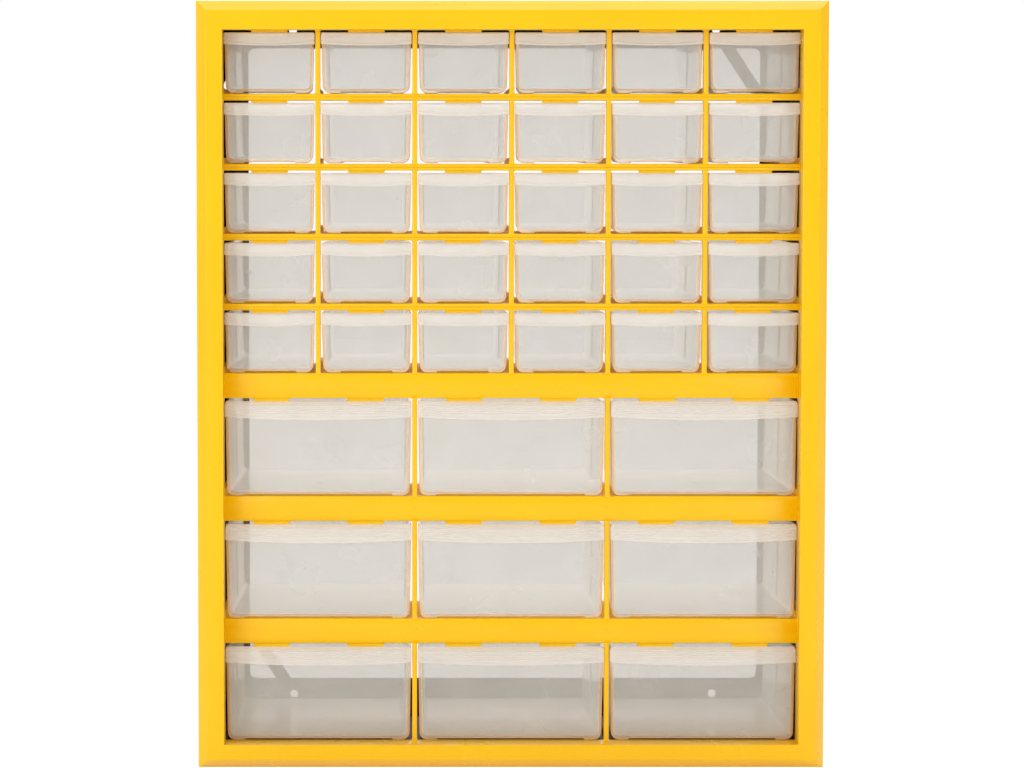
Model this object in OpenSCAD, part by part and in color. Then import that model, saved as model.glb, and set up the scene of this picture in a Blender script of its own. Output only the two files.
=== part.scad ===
// Parts bin cabinet: a moulded front frame over a black open-backed housing, with thirty
// small and nine large clear drawers that slide out until their rear wall meets a tab.
// Millimetres. X is to the right, Z is up and the drawers open towards -Y.
// Inside the modules Y counts from the face of the front frame, backwards; place() puts the
// whole cabinet on its origin, the middle of the base.

/* [Cabinet] */
// Width over the front frame
case_w = 365; // [340:5:400]
// Depth from the face of the front frame to the back
case_d = 155; // [150:1:170]
// Height of the bottom rail
bottom_rail_h = 14.3; // [12:0.1:18]
// Height of the top rail
top_rail_h = 16.6; // [14:0.1:20]
// Width of the two side rails
side_rail_w = 15.3; // [14:0.1:18]

/* [Front frame] */
// Depth of the front frame
frame_d = 18; // [16:0.5:22]
// Width of the slanted outer edge, seen from the front
bevel_w = 5.6; // [3:0.1:6]
// Depth of the slanted outer edge
bevel_d = 7; // [4:0.5:7.5]
// How far the bars and posts lie behind the face of the frame
grid_recess = 14; // [13:0.5:14]
// Wall thickness of the front frame
frame_wall = 2.2; // [1.8:0.1:2.4]

/* [Cells] */
// Clear height of a small cell
small_cell_h = 36.7; // [32:0.1:42]
// Clear height of a large cell
large_cell_h = 57.4; // [50:0.1:64]
// Height of the bars between the small rows
thin_bar_h = 3.9; // [3.5:0.1:5]
// Height of the bars round the large rows
thick_bar_h = 14.6; // [12:0.1:18]
// Depth of the bars and posts
bar_d = 6; // [5:0.5:8]
// Width of the posts between the columns
post_w = 2.9; // [2.4:0.1:3.4]
// Width of a stop tab over a small drawer
small_tab_w = 21.3; // [16:0.1:24]
// Width of a stop tab over a large drawer
large_tab_w = 21.8; // [16:0.1:26]
// Distance of the large drawers' tabs from the middle of their cell
large_tab_x = 27.5; // [20:0.5:35]

/* [Shelves] */
// Thickness of a shelf
shelf_t = 2; // [1.6:0.1:2.4]
// Depth of the shelves in the small rows, behind the bars
small_shelf_d = 100; // [60:1:110]
// Depth of the shelves in the large rows, behind the bars
large_shelf_d = 78; // [60:1:110]
// Height of the guide ribs on a shelf
guide_h = 3.4; // [2:0.2:5]
// Width of a guide rib
guide_w = 2.2; // [1.6:0.1:2.4]

/* [Housing] */
// Wall thickness of the housing
shell_wall = 2.2; // [1.8:0.1:2.4]
// How far the housing stands in from the edge of the front frame
shell_inset = 3.5; // [3:0.1:4]
// Width of the border left round the open back
back_border = 23.8; // [20:0.1:28]
// Distance of the border's lower edge of the opening from the base
back_sill_h = 28.6; // [26:0.1:34]
// Diameter of the wall screw holes
screw_hole_d = 5; // [4:0.1:6]
// Diameter of the round part of a hanging hole
hanging_hole_d = 9.5; // [8:0.1:10]

/* [Drawers] */
// Length of a drawer
drawer_len = 135; // [120:1:135]
// Wall thickness of a drawer
drawer_wall = 1.4; // [1.2:0.1:1.6]
// How much narrower a drawer is at the back, on each side
drawer_taper = 2.8; // [1:0.1:4]
// Radius of a drawer's long bottom edges
drawer_edge_r = 4.4; // [3:0.1:6]
// Height of the two skids that a drawer slides on
skid_h = 0.8; // [0.4:0.1:1.2]
// Width of a skid, from the side of the drawer
skid_w = 11; // [8:0.5:14]
// Height of a small drawer's lip at its ends
small_lip_h = 6.7; // [5:0.1:8]
// Height of a large drawer's lip at its ends
large_lip_h = 9.0; // [7:0.1:11]
// How far a lip bulges forward in the middle
lip_bulge = 2.6; // [1:0.1:3]

/* [Hidden] */
$fn = 96;
BOW_FN = 1440;

SMALL_ROWS = 5;
SMALL_COLS = 6;
LARGE_ROWS = 3;
LARGE_COLS = 3;
ROWS = SMALL_ROWS + LARGE_ROWS;

function small_name(row, col) = str("small_drawer_r", row, "c", col);
function large_name(row, col) = str("large_drawer_r", row, "c", col);
function shelf_name(row) = str("shelf_", row);

// Height of the whole cabinet, from its rails, bars and cells
case_h = bottom_rail_h + LARGE_ROWS * (large_cell_h + thick_bar_h)
       + SMALL_ROWS * small_cell_h + (SMALL_ROWS - 1) * thin_bar_h + top_rail_h;

// The opening inside the rails, and the cells in it
opening_w = case_w - 2 * side_rail_w;
opening_h = case_h - bottom_rail_h - top_rail_h;
small_cell_w = (opening_w - (SMALL_COLS - 1) * post_w) / SMALL_COLS;
large_cell_w = 2 * small_cell_w + post_w;
small_pitch = small_cell_w + post_w;
large_pitch = large_cell_w + post_w;

// Middle of a column, and the floor of a row counted from the top
function small_x(col) = (col - (SMALL_COLS + 1) / 2) * small_pitch;
function large_x(col) = (col - (LARGE_COLS + 1) / 2) * large_pitch;
function row_floor(row) = row <= SMALL_ROWS
    ? case_h - top_rail_h - row * small_cell_h - (row - 1) * thin_bar_h
    : row_floor(SMALL_ROWS) - (row - SMALL_ROWS) * (thick_bar_h + large_cell_h);

// Bars and posts
bar_y = grid_recess;
thin_bar_r = 3.2;
thick_bar_r = 26;
thick_bar_crest = 0.58;
post_r = 2.6;

// Stop tabs: they hang behind the drawer's front wall, inside the drawer
tab_set_back = 1.6;
tab_t = 1.6;
tab_root = 1;
tab_y = bar_y + tab_set_back;
small_tab_h = 3.4;
large_tab_h = 4;
small_tab_slant = 0.5;
large_tab_slant = 1.15;

// Shelves
shelf_y = bar_y + bar_d;
function shelf_depth(row) = row <= SMALL_ROWS ? small_shelf_d : large_shelf_d;

// Housing
shell_w = case_w - 2 * shell_inset;
shell_top = case_h - shell_inset;
shell_in_w = shell_w - 2 * shell_wall;
channel_y = bevel_d + 1;
back_y = case_d - shell_wall;
ledge_w = 3;
ledge_h = 1.8;
window_r = 4;

// Fixings in the back border
screw_x = 131;
screw_low_z = 19;
screw_top_drop = 12.5;
hanging_x = 169.3;
hanging_drop = 46.8;
hanging_slot_d = 4.5;
hanging_slot_rise = 7;
brace_w = 7.6;
brace_t = 2;
brace_run_x = 39;
brace_run_z = 59;

// Drawers: running gaps, and where they stand behind the frame's face
side_gap = 1.3;
lift_gap = 0.3;
small_top_gap = 1.4;
large_top_gap = 1.9;
tab_gap = 0.3;
drawer_y = tab_y - tab_gap - drawer_wall;
wall_draft = 1.2;
drawer_corner_r = 3;
corner_clip = 0.15;
partition_rib_w = 1.2;
partition_rib_t = 0.6;
partition_gap = 1.8;
partition_rib_share = 0.8;

// Lips
lip_end_gap = 0.3;
lip_reach = 2.4;
lip_wall = 1.3;
small_lip_end_r = 1;
large_lip_end_r = 2.4;
bead_h = 1.6;
bead_t = 0.5;
small_lip_sag = 0.9;
large_lip_sag = 1.5;
grip_rib_pitch = 1.1;
grip_rib_h = 0.55;
grip_rib_t = 0.3;
grip_end_gap = 2.5;
grip_ribs = 6;

FRAME_COLOUR = "#fcc81e";
HOUSING_COLOUR = "#1c1d20";
DRAWER_COLOUR = "#e4e2de";

// ---- shared shapes -------------------------------------------------------------------

// A corner's two tangent points and its centre, for a round of radius r
function corner_round(before, at, after, r) =
    let (u = (before - at) / norm(before - at), v = (after - at) / norm(after - at),
         half = acos(u * v) / 2, mid = (u + v) / norm(u + v))
    [at + u * r / tan(half), at + v * r / tan(half), at + mid * r / sin(half)];

// A convex outline whose corners are true arcs; a radius of 0 leaves a corner sharp
module rounded_outline(points, radii) {
    count = len(points);
    rounds = [for (i = [0:count - 1])
        corner_round(points[(i + count - 1) % count], points[i], points[(i + 1) % count],
                     radii[i])];
    polygon([for (i = [0:count - 1]) each radii[i] > 0
        ? [rounds[i][0], rounds[i][1]] : [points[i]]]);
    for (i = [0:count - 1])
        if (radii[i] > 0) translate(rounds[i][2]) circle(r = radii[i]);
}

// Stands a drawing of X and Z up, and gives it a length along Y
module along_y(from, to) {
    translate([0, to, 0]) rotate([90, 0, 0]) linear_extrude(to - from) children();
}

// Turns a drawing of Y and Z to face X, and gives it a width about the middle
module along_x(width) {
    rotate([90, 0, 90]) linear_extrude(width, center = true) children();
}

module place() {
    translate([0, -case_d / 2, 0]) children();
}

// A straight bar of rectangular section from low to high corner
module block(low, high) {
    translate(low) cube(high - low);
}

// ---- front frame ---------------------------------------------------------------------

// The frame's outer solid, with a slanted edge all round that meets in mitred corners
module bezel_blank() {
    half = case_w / 2;
    intersection() {
        linear_extrude(case_h) polygon([
            [-half, frame_d], [-half, bevel_d], [-half + bevel_w, 0],
            [half - bevel_w, 0], [half, bevel_d], [half, frame_d]]);
        along_x(case_w) polygon([
            [frame_d, 0], [bevel_d, 0], [0, bevel_w],
            [0, case_h - bevel_w], [bevel_d, case_h], [frame_d, case_h]]);
    }
}

module opening_outline(grow) {
    translate([-opening_w / 2 - grow, bottom_rail_h - grow])
        square([opening_w + 2 * grow, opening_h + 2 * grow]);
}

// The open channel round the back of the frame, which takes the housing's edge
module bezel_channel() {
    difference() {
        along_y(channel_y, frame_d + 1) translate([-case_w / 2 + frame_wall, frame_wall])
            square([case_w - 2 * frame_wall, case_h - 2 * frame_wall]);
        along_y(channel_y - 1, frame_d + 2) opening_outline(frame_wall);
    }
}

module bezel() color(FRAME_COLOUR) {
    difference() {
        bezel_blank();
        along_y(-1, frame_d + 1) opening_outline(0);
        bezel_channel();
    }
    small_row_tabs(case_h - top_rail_h);
}

// A tab that hangs from the underside of a bar, narrower at its foot
module tab(width, height, slant) {
    along_y(tab_y, tab_y + tab_t) polygon([
        [-width / 2, tab_root], [-width / 2, 0], [-width / 2 + slant, -height],
        [width / 2 - slant, -height], [width / 2, 0], [width / 2, tab_root]]);
}

module small_row_tabs(z) {
    for (col = [1:SMALL_COLS])
        translate([small_x(col), 0, z]) tab(small_tab_w, small_tab_h, small_tab_slant);
}

module large_row_tabs(z) {
    for (col = [1:LARGE_COLS]) for (side = [-1, 1])
        translate([large_x(col) + side * large_tab_x, 0, z])
            tab(large_tab_w, large_tab_h, large_tab_slant);
}

// The section of a thin bar or a post: width on X, depth on Y, with a rounded face
module nosed_section(width, nose_r) {
    translate([-width / 2, nose_r]) square([width, bar_d - nose_r]);
    intersection() {
        translate([-width / 2, 0]) square([width, nose_r]);
        translate([0, nose_r]) circle(r = nose_r);
    }
}

// A solid bar with a gently rounded face; its underside is at Z = 0
module thin_bar() {
    translate([0, bar_y, thin_bar_h / 2]) rotate([90, 0, 90])
        linear_extrude(opening_w, center = true) rotate(-90) nosed_section(thin_bar_h, thin_bar_r);
}

// A channel-shaped bar, open at the back, whose face bulges most above its middle
module thick_bar() {
    along_x(opening_w) difference() {
        intersection() {
            translate([bar_y, 0]) square([bar_d, thick_bar_h]);
            translate([bar_y + thick_bar_r, thick_bar_h * thick_bar_crest])
                circle(r = thick_bar_r);
        }
        translate([bar_y + frame_wall + thick_bar_h / 20, frame_wall])
            square([bar_d, thick_bar_h - 2 * frame_wall]);
    }
}

module thin_bars() color(FRAME_COLOUR) {
    for (row = [1:SMALL_ROWS - 1]) {
        translate([0, 0, row_floor(row) - thin_bar_h]) thin_bar();
        small_row_tabs(row_floor(row) - thin_bar_h);
    }
}

module thick_bars() color(FRAME_COLOUR) {
    for (row = [SMALL_ROWS:ROWS - 1]) {
        translate([0, 0, row_floor(row) - thick_bar_h]) thick_bar();
        large_row_tabs(row_floor(row) - thick_bar_h);
    }
}

// An upright with a rounded face that fills one cell's height
module post(height) {
    translate([0, bar_y, 0]) linear_extrude(height) nosed_section(post_w, post_r);
}

module small_posts() color(FRAME_COLOUR) {
    for (row = [1:SMALL_ROWS]) for (col = [1:SMALL_COLS - 1])
        translate([small_x(col) + small_pitch / 2, 0, row_floor(row)]) post(small_cell_h);
}

module large_posts() color(FRAME_COLOUR) {
    for (row = [SMALL_ROWS + 1:ROWS]) for (col = [1:LARGE_COLS - 1])
        translate([large_x(col) + large_pitch / 2, 0, row_floor(row)]) post(large_cell_h);
}

// ---- shelves -------------------------------------------------------------------------

// A flat shelf, level with the top of its bar, with low ribs that guide the drawers.
// The lowest one starts at the back of the frame's bottom rail.
module shelf(row) {
    cols = row <= SMALL_ROWS ? SMALL_COLS : LARGE_COLS;
    pitch = row <= SMALL_ROWS ? small_pitch : large_pitch;
    outer = opening_w / 2 + guide_w / 2;
    rib_x = concat([-outer, outer], [for (i = [1:cols - 1]) (i - cols / 2) * pitch]);
    front = row == ROWS ? frame_d : shelf_y;
    back = shelf_y + shelf_depth(row);
    translate([0, 0, row_floor(row)]) {
        block([-shell_in_w / 2, front, -shelf_t], [shell_in_w / 2, back, 0]);
        for (x = rib_x)
            block([x - guide_w / 2, shelf_y, -shelf_t], [x + guide_w / 2, back, guide_h]);
    }
}

// ---- housing -------------------------------------------------------------------------

// The right side wall, with a ledge under every shelf
module housing_side() {
    block([shell_in_w / 2, channel_y, shell_wall],
          [shell_w / 2, back_y, shell_top - shell_wall]);
    for (row = [1:ROWS])
        block([shell_in_w / 2 - ledge_w, shelf_y, row_floor(row) - shelf_t - ledge_h],
              [shell_w / 2, shelf_y + shelf_depth(row), row_floor(row) - shelf_t]);
}

module housing_right() color(HOUSING_COLOUR) housing_side();

module housing_left() color(HOUSING_COLOUR) mirror([1, 0, 0]) housing_side();

module housing_top() color(HOUSING_COLOUR) {
    block([-shell_w / 2, channel_y, shell_top - shell_wall], [shell_w / 2, back_y, shell_top]);
}

// The base stands on the floor behind the frame and steps up into the frame's channel
module housing_base() color(HOUSING_COLOUR) {
    block([-shell_w / 2, frame_d, 0], [shell_w / 2, back_y, shell_wall]);
    block([-shell_in_w / 2, frame_d, 0], [shell_in_w / 2, frame_d + shell_wall, shell_inset + shell_wall]);
    block([-shell_in_w / 2, channel_y, shell_inset],
          [shell_in_w / 2, frame_d + shell_wall, shell_inset + shell_wall]);
}

module back_frame() color(HOUSING_COLOUR) {
    window_x = case_w / 2 - back_border;
    window_top = case_h - back_border;
    difference() {
        block([-shell_w / 2, back_y, 0], [shell_w / 2, case_d, shell_top]);
        along_y(back_y - 1, case_d + 1) rounded_outline(
            [[-window_x, back_sill_h], [window_x, back_sill_h],
             [window_x, window_top], [-window_x, window_top]],
            [window_r, window_r, window_r, window_r]);
        screw_holes(back_y - 1, case_d + 1);
        for (side = [-1, 1]) translate([side * hanging_x, 0, case_h - hanging_drop])
            along_y(back_y - 1, case_d + 1) {
                circle(d = hanging_hole_d);
                translate([-hanging_slot_d / 2, 0]) square([hanging_slot_d, hanging_slot_rise]);
                translate([0, hanging_slot_rise]) circle(d = hanging_slot_d);
            }
    }
}

module screw_holes(from, to) {
    for (side = [-1, 1]) for (z = [screw_low_z, case_h - screw_top_drop])
        translate([side * screw_x, 0, z]) along_y(from, to) circle(d = screw_hole_d);
}

// A flat strap with round ends, from the lower screw hole up to the side of the border
module brace() {
    run = norm([brace_run_x, brace_run_z]);
    difference() {
        translate([-screw_x, 0, screw_low_z]) rotate([0, -atan2(brace_run_x, brace_run_z), 0])
            along_y(back_y - brace_t, back_y) {
                circle(d = brace_w);
                translate([-brace_w / 2, 0]) square([brace_w, run]);
                translate([0, run]) circle(d = brace_w);
            }
        screw_holes(back_y - brace_t - 1, back_y + 1);
    }
}

// One brace crosses the lower left corner of the back, the other the upper right corner
module back_braces() color(HOUSING_COLOUR) {
    brace();
    translate([0, 0, case_h + screw_low_z - screw_top_drop]) rotate([0, 180, 0]) brace();
}

// ---- drawers -------------------------------------------------------------------------

// One side of a drawer's form: a drafted wall and a long rounded bottom edge, turned to
// follow the drawer's taper. inset moves the wall and the floor inwards.
module tub_side(width, height, top, inset) {
    lean = atan2(drawer_taper, drawer_len);
    draft = wall_draft / height;
    translate([-width / 2 + inset, 0, 0]) rotate([0, 0, -lean]) along_y(-width, 2 * drawer_len)
        rounded_outline(
            [[draft * (height - top), top], [draft * (height - inset), inset],
             [2 * width, inset], [2 * width, top]],
            [0, drawer_edge_r - inset, 0, 0]);
}

// The tapered, drafted form of a drawer; with an inset it is the drawer's inside
module tub_form(width, height, top, inset) {
    corner_r = drawer_corner_r - inset / 2;
    front_x = width / 2 - inset + corner_clip;
    back_x = front_x - drawer_taper;
    intersection() {
        tub_side(width, height, top, inset);
        mirror([1, 0, 0]) tub_side(width, height, top, inset);
        linear_extrude(top) rounded_outline(
            [[-front_x, inset], [front_x, inset], [back_x, drawer_len - inset],
             [-back_x, drawer_len - inset]],
            [corner_r, corner_r, corner_r, corner_r]);
    }
}

// The space under a drawer's floor, between its skids
module skid_gap(width) {
    front_x = width / 2 - skid_w;
    back_x = front_x - drawer_taper;
    translate([0, 0, -1]) linear_extrude(skid_h + 1) polygon([
        [-front_x, -1], [front_x, -1], [back_x, drawer_len + 1], [-back_x, drawer_len + 1]]);
}

module tub(width, height) {
    difference() {
        tub_form(width, height, height, 0);
        translate([0, 0, skid_h]) tub_form(width, height, height, drawer_wall);
        skid_gap(width);
    }
}

// A disc on the middle line whose front is bowed by sag over a width, with its foremost
// point at the origin; grow moves that front outwards
module bow_disc(width, sag, grow = 0) {
    bow_r = (width * width / 4 + sag * sag) / (2 * sag);
    translate([0, bow_r]) circle(r = bow_r + grow, $fn = BOW_FN);
}

// The lip's outline from the front: straight on top, bowed below; Z = 0 is its top edge
module lip_face(width, height, sag, end_r) {
    low = -height - sag;
    half = width / 2;
    intersection() {
        rounded_outline([[-half, low], [half, low], [half, 0], [-half, 0]], [0, 0, end_r, end_r]);
        translate([0, low]) bow_disc(width, sag);
    }
}

// The lip's outline from above: a bowed front, moved outwards by grow
module lip_plan(width, grow) {
    intersection() {
        translate([-width, -width]) square([2 * width, width + drawer_wall]);
        translate([0, -lip_reach - lip_bulge]) bow_disc(width, lip_bulge, grow);
    }
}

// A hood along the top of the front wall, open below so that fingers go behind it, with a
// bead along its lower edge
module lip(width, height, sag, end_r) {
    reach = lip_reach + lip_bulge + bead_t + 1;
    deep = height + sag + 1;
    in_half = width / 2 - lip_wall;
    difference() {
        intersection() {
            along_y(-reach, drawer_wall) lip_face(width, height, sag, end_r);
            translate([0, 0, -deep]) linear_extrude(deep + 1) lip_plan(width, 0);
        }
        intersection() {
            along_y(-reach, 0) rounded_outline(
                [[-in_half, -deep], [in_half, -deep], [in_half, -lip_wall],
                 [-in_half, -lip_wall]],
                [0, 0, end_r / 2, end_r / 2]);
            translate([0, 0, -deep]) linear_extrude(deep) lip_plan(width, -lip_wall);
        }
    }
    intersection() {
        along_y(-reach, 0) difference() {
            lip_face(width, height, sag, end_r);
            translate([0, bead_h]) lip_face(width, height, sag, end_r);
        }
        translate([0, 0, -deep]) linear_extrude(deep) difference() {
            lip_plan(width, bead_t);
            lip_plan(width, -lip_wall);
        }
    }
}

// Two upright ribs on each side wall, which hold a partition between them. They lean with
// the wall and are rooted in it.
module partition_ribs(width, height) {
    low = skid_h + drawer_wall / 2;
    high = height * partition_rib_share;
    lean = wall_draft / height;
    wall_x = width / 2 - drawer_wall - drawer_taper / 2 - wall_draft;
    root = drawer_wall / 2;
    for (side = [0, 1]) mirror([side, 0, 0])
        for (y = [-partition_gap / 2 - partition_rib_w, partition_gap / 2])
            along_y(drawer_len / 2 + y, drawer_len / 2 + y + partition_rib_w) polygon([
                [wall_x + lean * low - partition_rib_t, low], [wall_x + lean * low + root, low],
                [wall_x + lean * high + root, high],
                [wall_x + lean * high - partition_rib_t, high]]);
}

module small_drawer() color(DRAWER_COLOUR) {
    width = small_cell_w - 2 * side_gap;
    height = small_cell_h - lift_gap - small_top_gap;
    tub(width, height);
    partition_ribs(width, height);
    translate([0, 0, height])
        lip(small_cell_w - 2 * lip_end_gap, small_lip_h, small_lip_sag, small_lip_end_r);
}

// Fine ribs across the face of a large drawer's lip
module grip_ribs(width) {
    for (i = [1:grip_ribs])
        translate([0, 0, -i * grip_rib_pitch - grip_rib_h]) linear_extrude(grip_rib_h)
            intersection() {
                translate([-width / 2 + grip_end_gap, -width])
                    square([width - 2 * grip_end_gap, width - lip_reach / 2]);
                difference() {
                    lip_plan(width, grip_rib_t);
                    lip_plan(width, -lip_wall / 2);
                }
            }
}

module large_drawer() color(DRAWER_COLOUR) {
    width = large_cell_w - 2 * side_gap;
    height = large_cell_h - lift_gap - large_top_gap;
    lip_w = large_cell_w - 2 * lip_end_gap;
    tub(width, height);
    partition_ribs(width, height);
    translate([0, 0, height]) {
        lip(lip_w, large_lip_h, large_lip_sag, large_lip_end_r);
        grip_ribs(lip_w);
    }
}

// ---- the cabinet ---------------------------------------------------------------------

place() bezel();
place() thin_bars();
place() thick_bars();
place() small_posts();
place() large_posts();
for (row = [1:ROWS - 1])
    place() color(FRAME_COLOUR) shelf(row);
place() color(HOUSING_COLOUR) shelf(ROWS);  // floor_shelf
place() housing_left();
place() housing_right();
place() housing_top();
place() housing_base();
place() back_frame();
place() back_braces();
for (row = [1:SMALL_ROWS]) for (col = [1:SMALL_COLS])
    place() translate([small_x(col), drawer_y, row_floor(row) + lift_gap]) small_drawer();
for (row = [1:LARGE_ROWS]) for (col = [1:LARGE_COLS])
    place() translate([large_x(col), drawer_y, row_floor(SMALL_ROWS + row) + lift_gap])
            large_drawer();
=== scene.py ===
"""Dresses the parts bin cabinet: moulded front frame, shelves, housing and sliding drawers.

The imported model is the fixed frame. Sizes in the classes are millimetres, in the part's own
terms; meshes are in metres, and every piece has its place in its vertices.
"""

from __future__ import annotations

import logging
import math
from dataclasses import dataclass
from enum import Enum
from typing import Any, Callable, Iterable

import bmesh
import bpy
from bmesh.types import BMEdge, BMesh, BMFace, BMVert
from bpy.types import Material, Mesh, Node, NodeSocket, NodeTree, Object
from mathutils import Matrix, Vector

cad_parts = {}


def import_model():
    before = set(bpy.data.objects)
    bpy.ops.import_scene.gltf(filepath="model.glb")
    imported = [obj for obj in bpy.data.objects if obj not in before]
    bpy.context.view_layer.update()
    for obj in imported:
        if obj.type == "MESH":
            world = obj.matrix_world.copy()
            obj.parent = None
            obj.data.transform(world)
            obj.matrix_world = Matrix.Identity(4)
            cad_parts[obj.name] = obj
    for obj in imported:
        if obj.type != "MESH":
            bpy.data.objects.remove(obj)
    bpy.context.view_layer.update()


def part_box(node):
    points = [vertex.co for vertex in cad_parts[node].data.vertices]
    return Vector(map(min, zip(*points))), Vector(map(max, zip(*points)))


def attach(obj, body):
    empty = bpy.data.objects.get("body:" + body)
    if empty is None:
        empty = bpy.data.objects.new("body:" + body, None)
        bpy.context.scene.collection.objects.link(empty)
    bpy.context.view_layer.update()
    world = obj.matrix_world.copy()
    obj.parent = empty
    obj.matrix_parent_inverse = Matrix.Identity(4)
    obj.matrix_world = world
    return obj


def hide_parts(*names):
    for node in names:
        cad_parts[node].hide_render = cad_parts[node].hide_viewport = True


LOG = logging.getLogger("cabinet")
MM = 0.001
CABINET = "cabinet"
# Edges that turn by more than this stay sharp, or are softened
EDGE_ANGLE = math.radians(32)
# Faces that turn by less than this are one flat face
FLAT_ANGLE = math.radians(0.4)
# Points closer than this are one point
WELD = 1e-6
# How near a plane, in millimetres, a point counts as lying on it
NEAR = 0.01
# How long an edge is, in millimetres, to count as running along an axis
RUN = 1.0
# Part of upwards in the normal of a face that counts as upright
UPRIGHT = 0.5
# Width between post columns that tells them apart, in metres
COLUMN_GAP = 0.01
# Where nearly all values of a noise texture lie, and its middle ones
NOISE_LOW, NOISE_HIGH = 0.3, 0.7
NOISE_MID_LOW, NOISE_MID_HIGH = 0.35, 0.65


class Slot(Enum):
    """The record's material slots."""

    YELLOW = "yellow_plastic"
    BLACK = "black_plastic"
    CLEAR = "clear_plastic"


# ---- colours and nodes -----------------------------------


def linear(hex_colour: str, alpha: float = 1.0) -> tuple[float, float, float, float]:
    """Turns an sRGB hex colour into linear RGBA.

    Args:
        hex_colour: Colour such as "#fcc81e".
        alpha: Fourth value, kept as it is.

    Returns:
        The four linear values.
    """
    parts = [int(hex_colour[i : i + 2], 16) / 255 for i in (1, 3, 5)]
    red, green, blue = (
        c / 12.92 if c <= 0.04045 else ((c + 0.055) / 1.055) ** 2.4 for c in parts
    )
    return red, green, blue, alpha


def per_mm(size: float) -> float:
    """Gives the texture scale at which one pattern cell is size millimetres wide."""
    return 1.0 / (size * MM)


def add_node(
    tree: NodeTree,
    kind: str,
    values: dict[Any, Any] | None = None,
    links: dict[Any, NodeSocket] | None = None,
) -> Node:
    """Adds one node to a tree.

    Args:
        tree: Node tree to add to.
        kind: Node type without its "ShaderNode" prefix.
        values: Input sockets or node attributes, with what each is set to.
        links: Input sockets, with the output that each is linked from.

    Returns:
        The new node.
    """
    node = tree.nodes.new("ShaderNode" + kind)
    for key, value in (values or {}).items():
        if isinstance(key, int) or key in node.inputs:
            node.inputs[key].default_value = value
        else:
            setattr(node, key, value)
    for key, source in (links or {}).items():
        tree.links.new(source, node.inputs[key])
    return node


def ray_is(tree: NodeTree, *kinds: str) -> NodeSocket:
    """Tells some kinds of ray from the rest.

    Args:
        tree: Node tree to work in.
        kinds: Names of the kinds, as Light Path has them.

    Returns:
        1 for rays of those kinds, and 0 for all others.
    """
    rays = add_node(tree, "LightPath").outputs
    found = rays[f"Is {kinds[0]} Ray"]
    for kind in kinds[1:]:
        either = {0: found, 1: rays[f"Is {kind} Ray"]}
        found = add_node(tree, "Math", {"operation": "MAXIMUM"}, either).outputs[0]
    return found


def new_tree(name: str) -> tuple[Material, NodeTree]:
    """Makes a material with an empty node tree.

    Args:
        name: Name of the material.

    Returns:
        The material and its tree.
    """
    material = bpy.data.materials.new(name)
    material.use_nodes = True
    material.node_tree.nodes.clear()
    return material, material.node_tree


@dataclass(frozen=True)
class MouldedPlastic:
    """An opaque injection-moulded plastic: even colour, faint flow clouds, a fine skin.

    Attributes:
        name: Name of the material.
        colour: Its colour.
        flow_colour: The slightly different colour where the melt flowed last.
        flow_mm: Size of the flow clouds.
        gloss: Lowest and highest roughness.
        gloss_mm: Size of the patches where the gloss changes.
        skin_mm: Size of the grain of the skin.
        skin_depth_mm: Depth of that grain.
        skin_strength: How strongly the grain shows.
        specular: Specular level, 0.5 at the plastic's own IOR.
        ior: Index of refraction.
    """

    name: str
    colour: str
    flow_colour: str
    flow_mm: float
    gloss: tuple[float, float]
    gloss_mm: float
    skin_mm: float
    skin_depth_mm: float
    skin_strength: float
    specular: float
    ior: float

    def material(self) -> Material:
        """Makes the material, in Object coordinates."""
        material, tree = new_tree(self.name)
        place = add_node(tree, "TexCoord").outputs["Object"]
        flow = add_node(
            tree, "TexNoise", {"Scale": per_mm(self.flow_mm), "Detail": 2.0}, {"Vector": place}
        )
        flow_share = add_node(
            tree,
            "MapRange",
            {"From Min": NOISE_MID_LOW, "From Max": NOISE_MID_HIGH},
            {"Value": flow.outputs["Fac"]},
        )
        colour = add_node(
            tree,
            "Mix",
            {"data_type": "RGBA", 6: linear(self.colour), 7: linear(self.flow_colour)},
            {0: flow_share.outputs[0]},
        )
        patches = add_node(
            tree, "TexNoise", {"Scale": per_mm(self.gloss_mm), "Detail": 3.0}, {"Vector": place}
        )
        gloss = add_node(
            tree,
            "MapRange",
            {
                "From Min": NOISE_LOW,
                "From Max": NOISE_HIGH,
                "To Min": self.gloss[0],
                "To Max": self.gloss[1],
            },
            {"Value": patches.outputs["Fac"]},
        )
        skin = add_node(
            tree, "TexNoise", {"Scale": per_mm(self.skin_mm), "Detail": 1.0}, {"Vector": place}
        )
        bump = add_node(
            tree,
            "Bump",
            {"Strength": self.skin_strength, "Distance": self.skin_depth_mm * MM},
            {"Height": skin.outputs["Fac"]},
        )
        surface = add_node(
            tree,
            "BsdfPrincipled",
            {"IOR": self.ior, "Specular IOR Level": self.specular},
            {
                "Base Color": colour.outputs[2],
                "Roughness": gloss.outputs[0],
                "Normal": bump.outputs["Normal"],
            },
        )
        add_node(tree, "OutputMaterial", links={"Surface": surface.outputs[0]})
        return material


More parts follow.
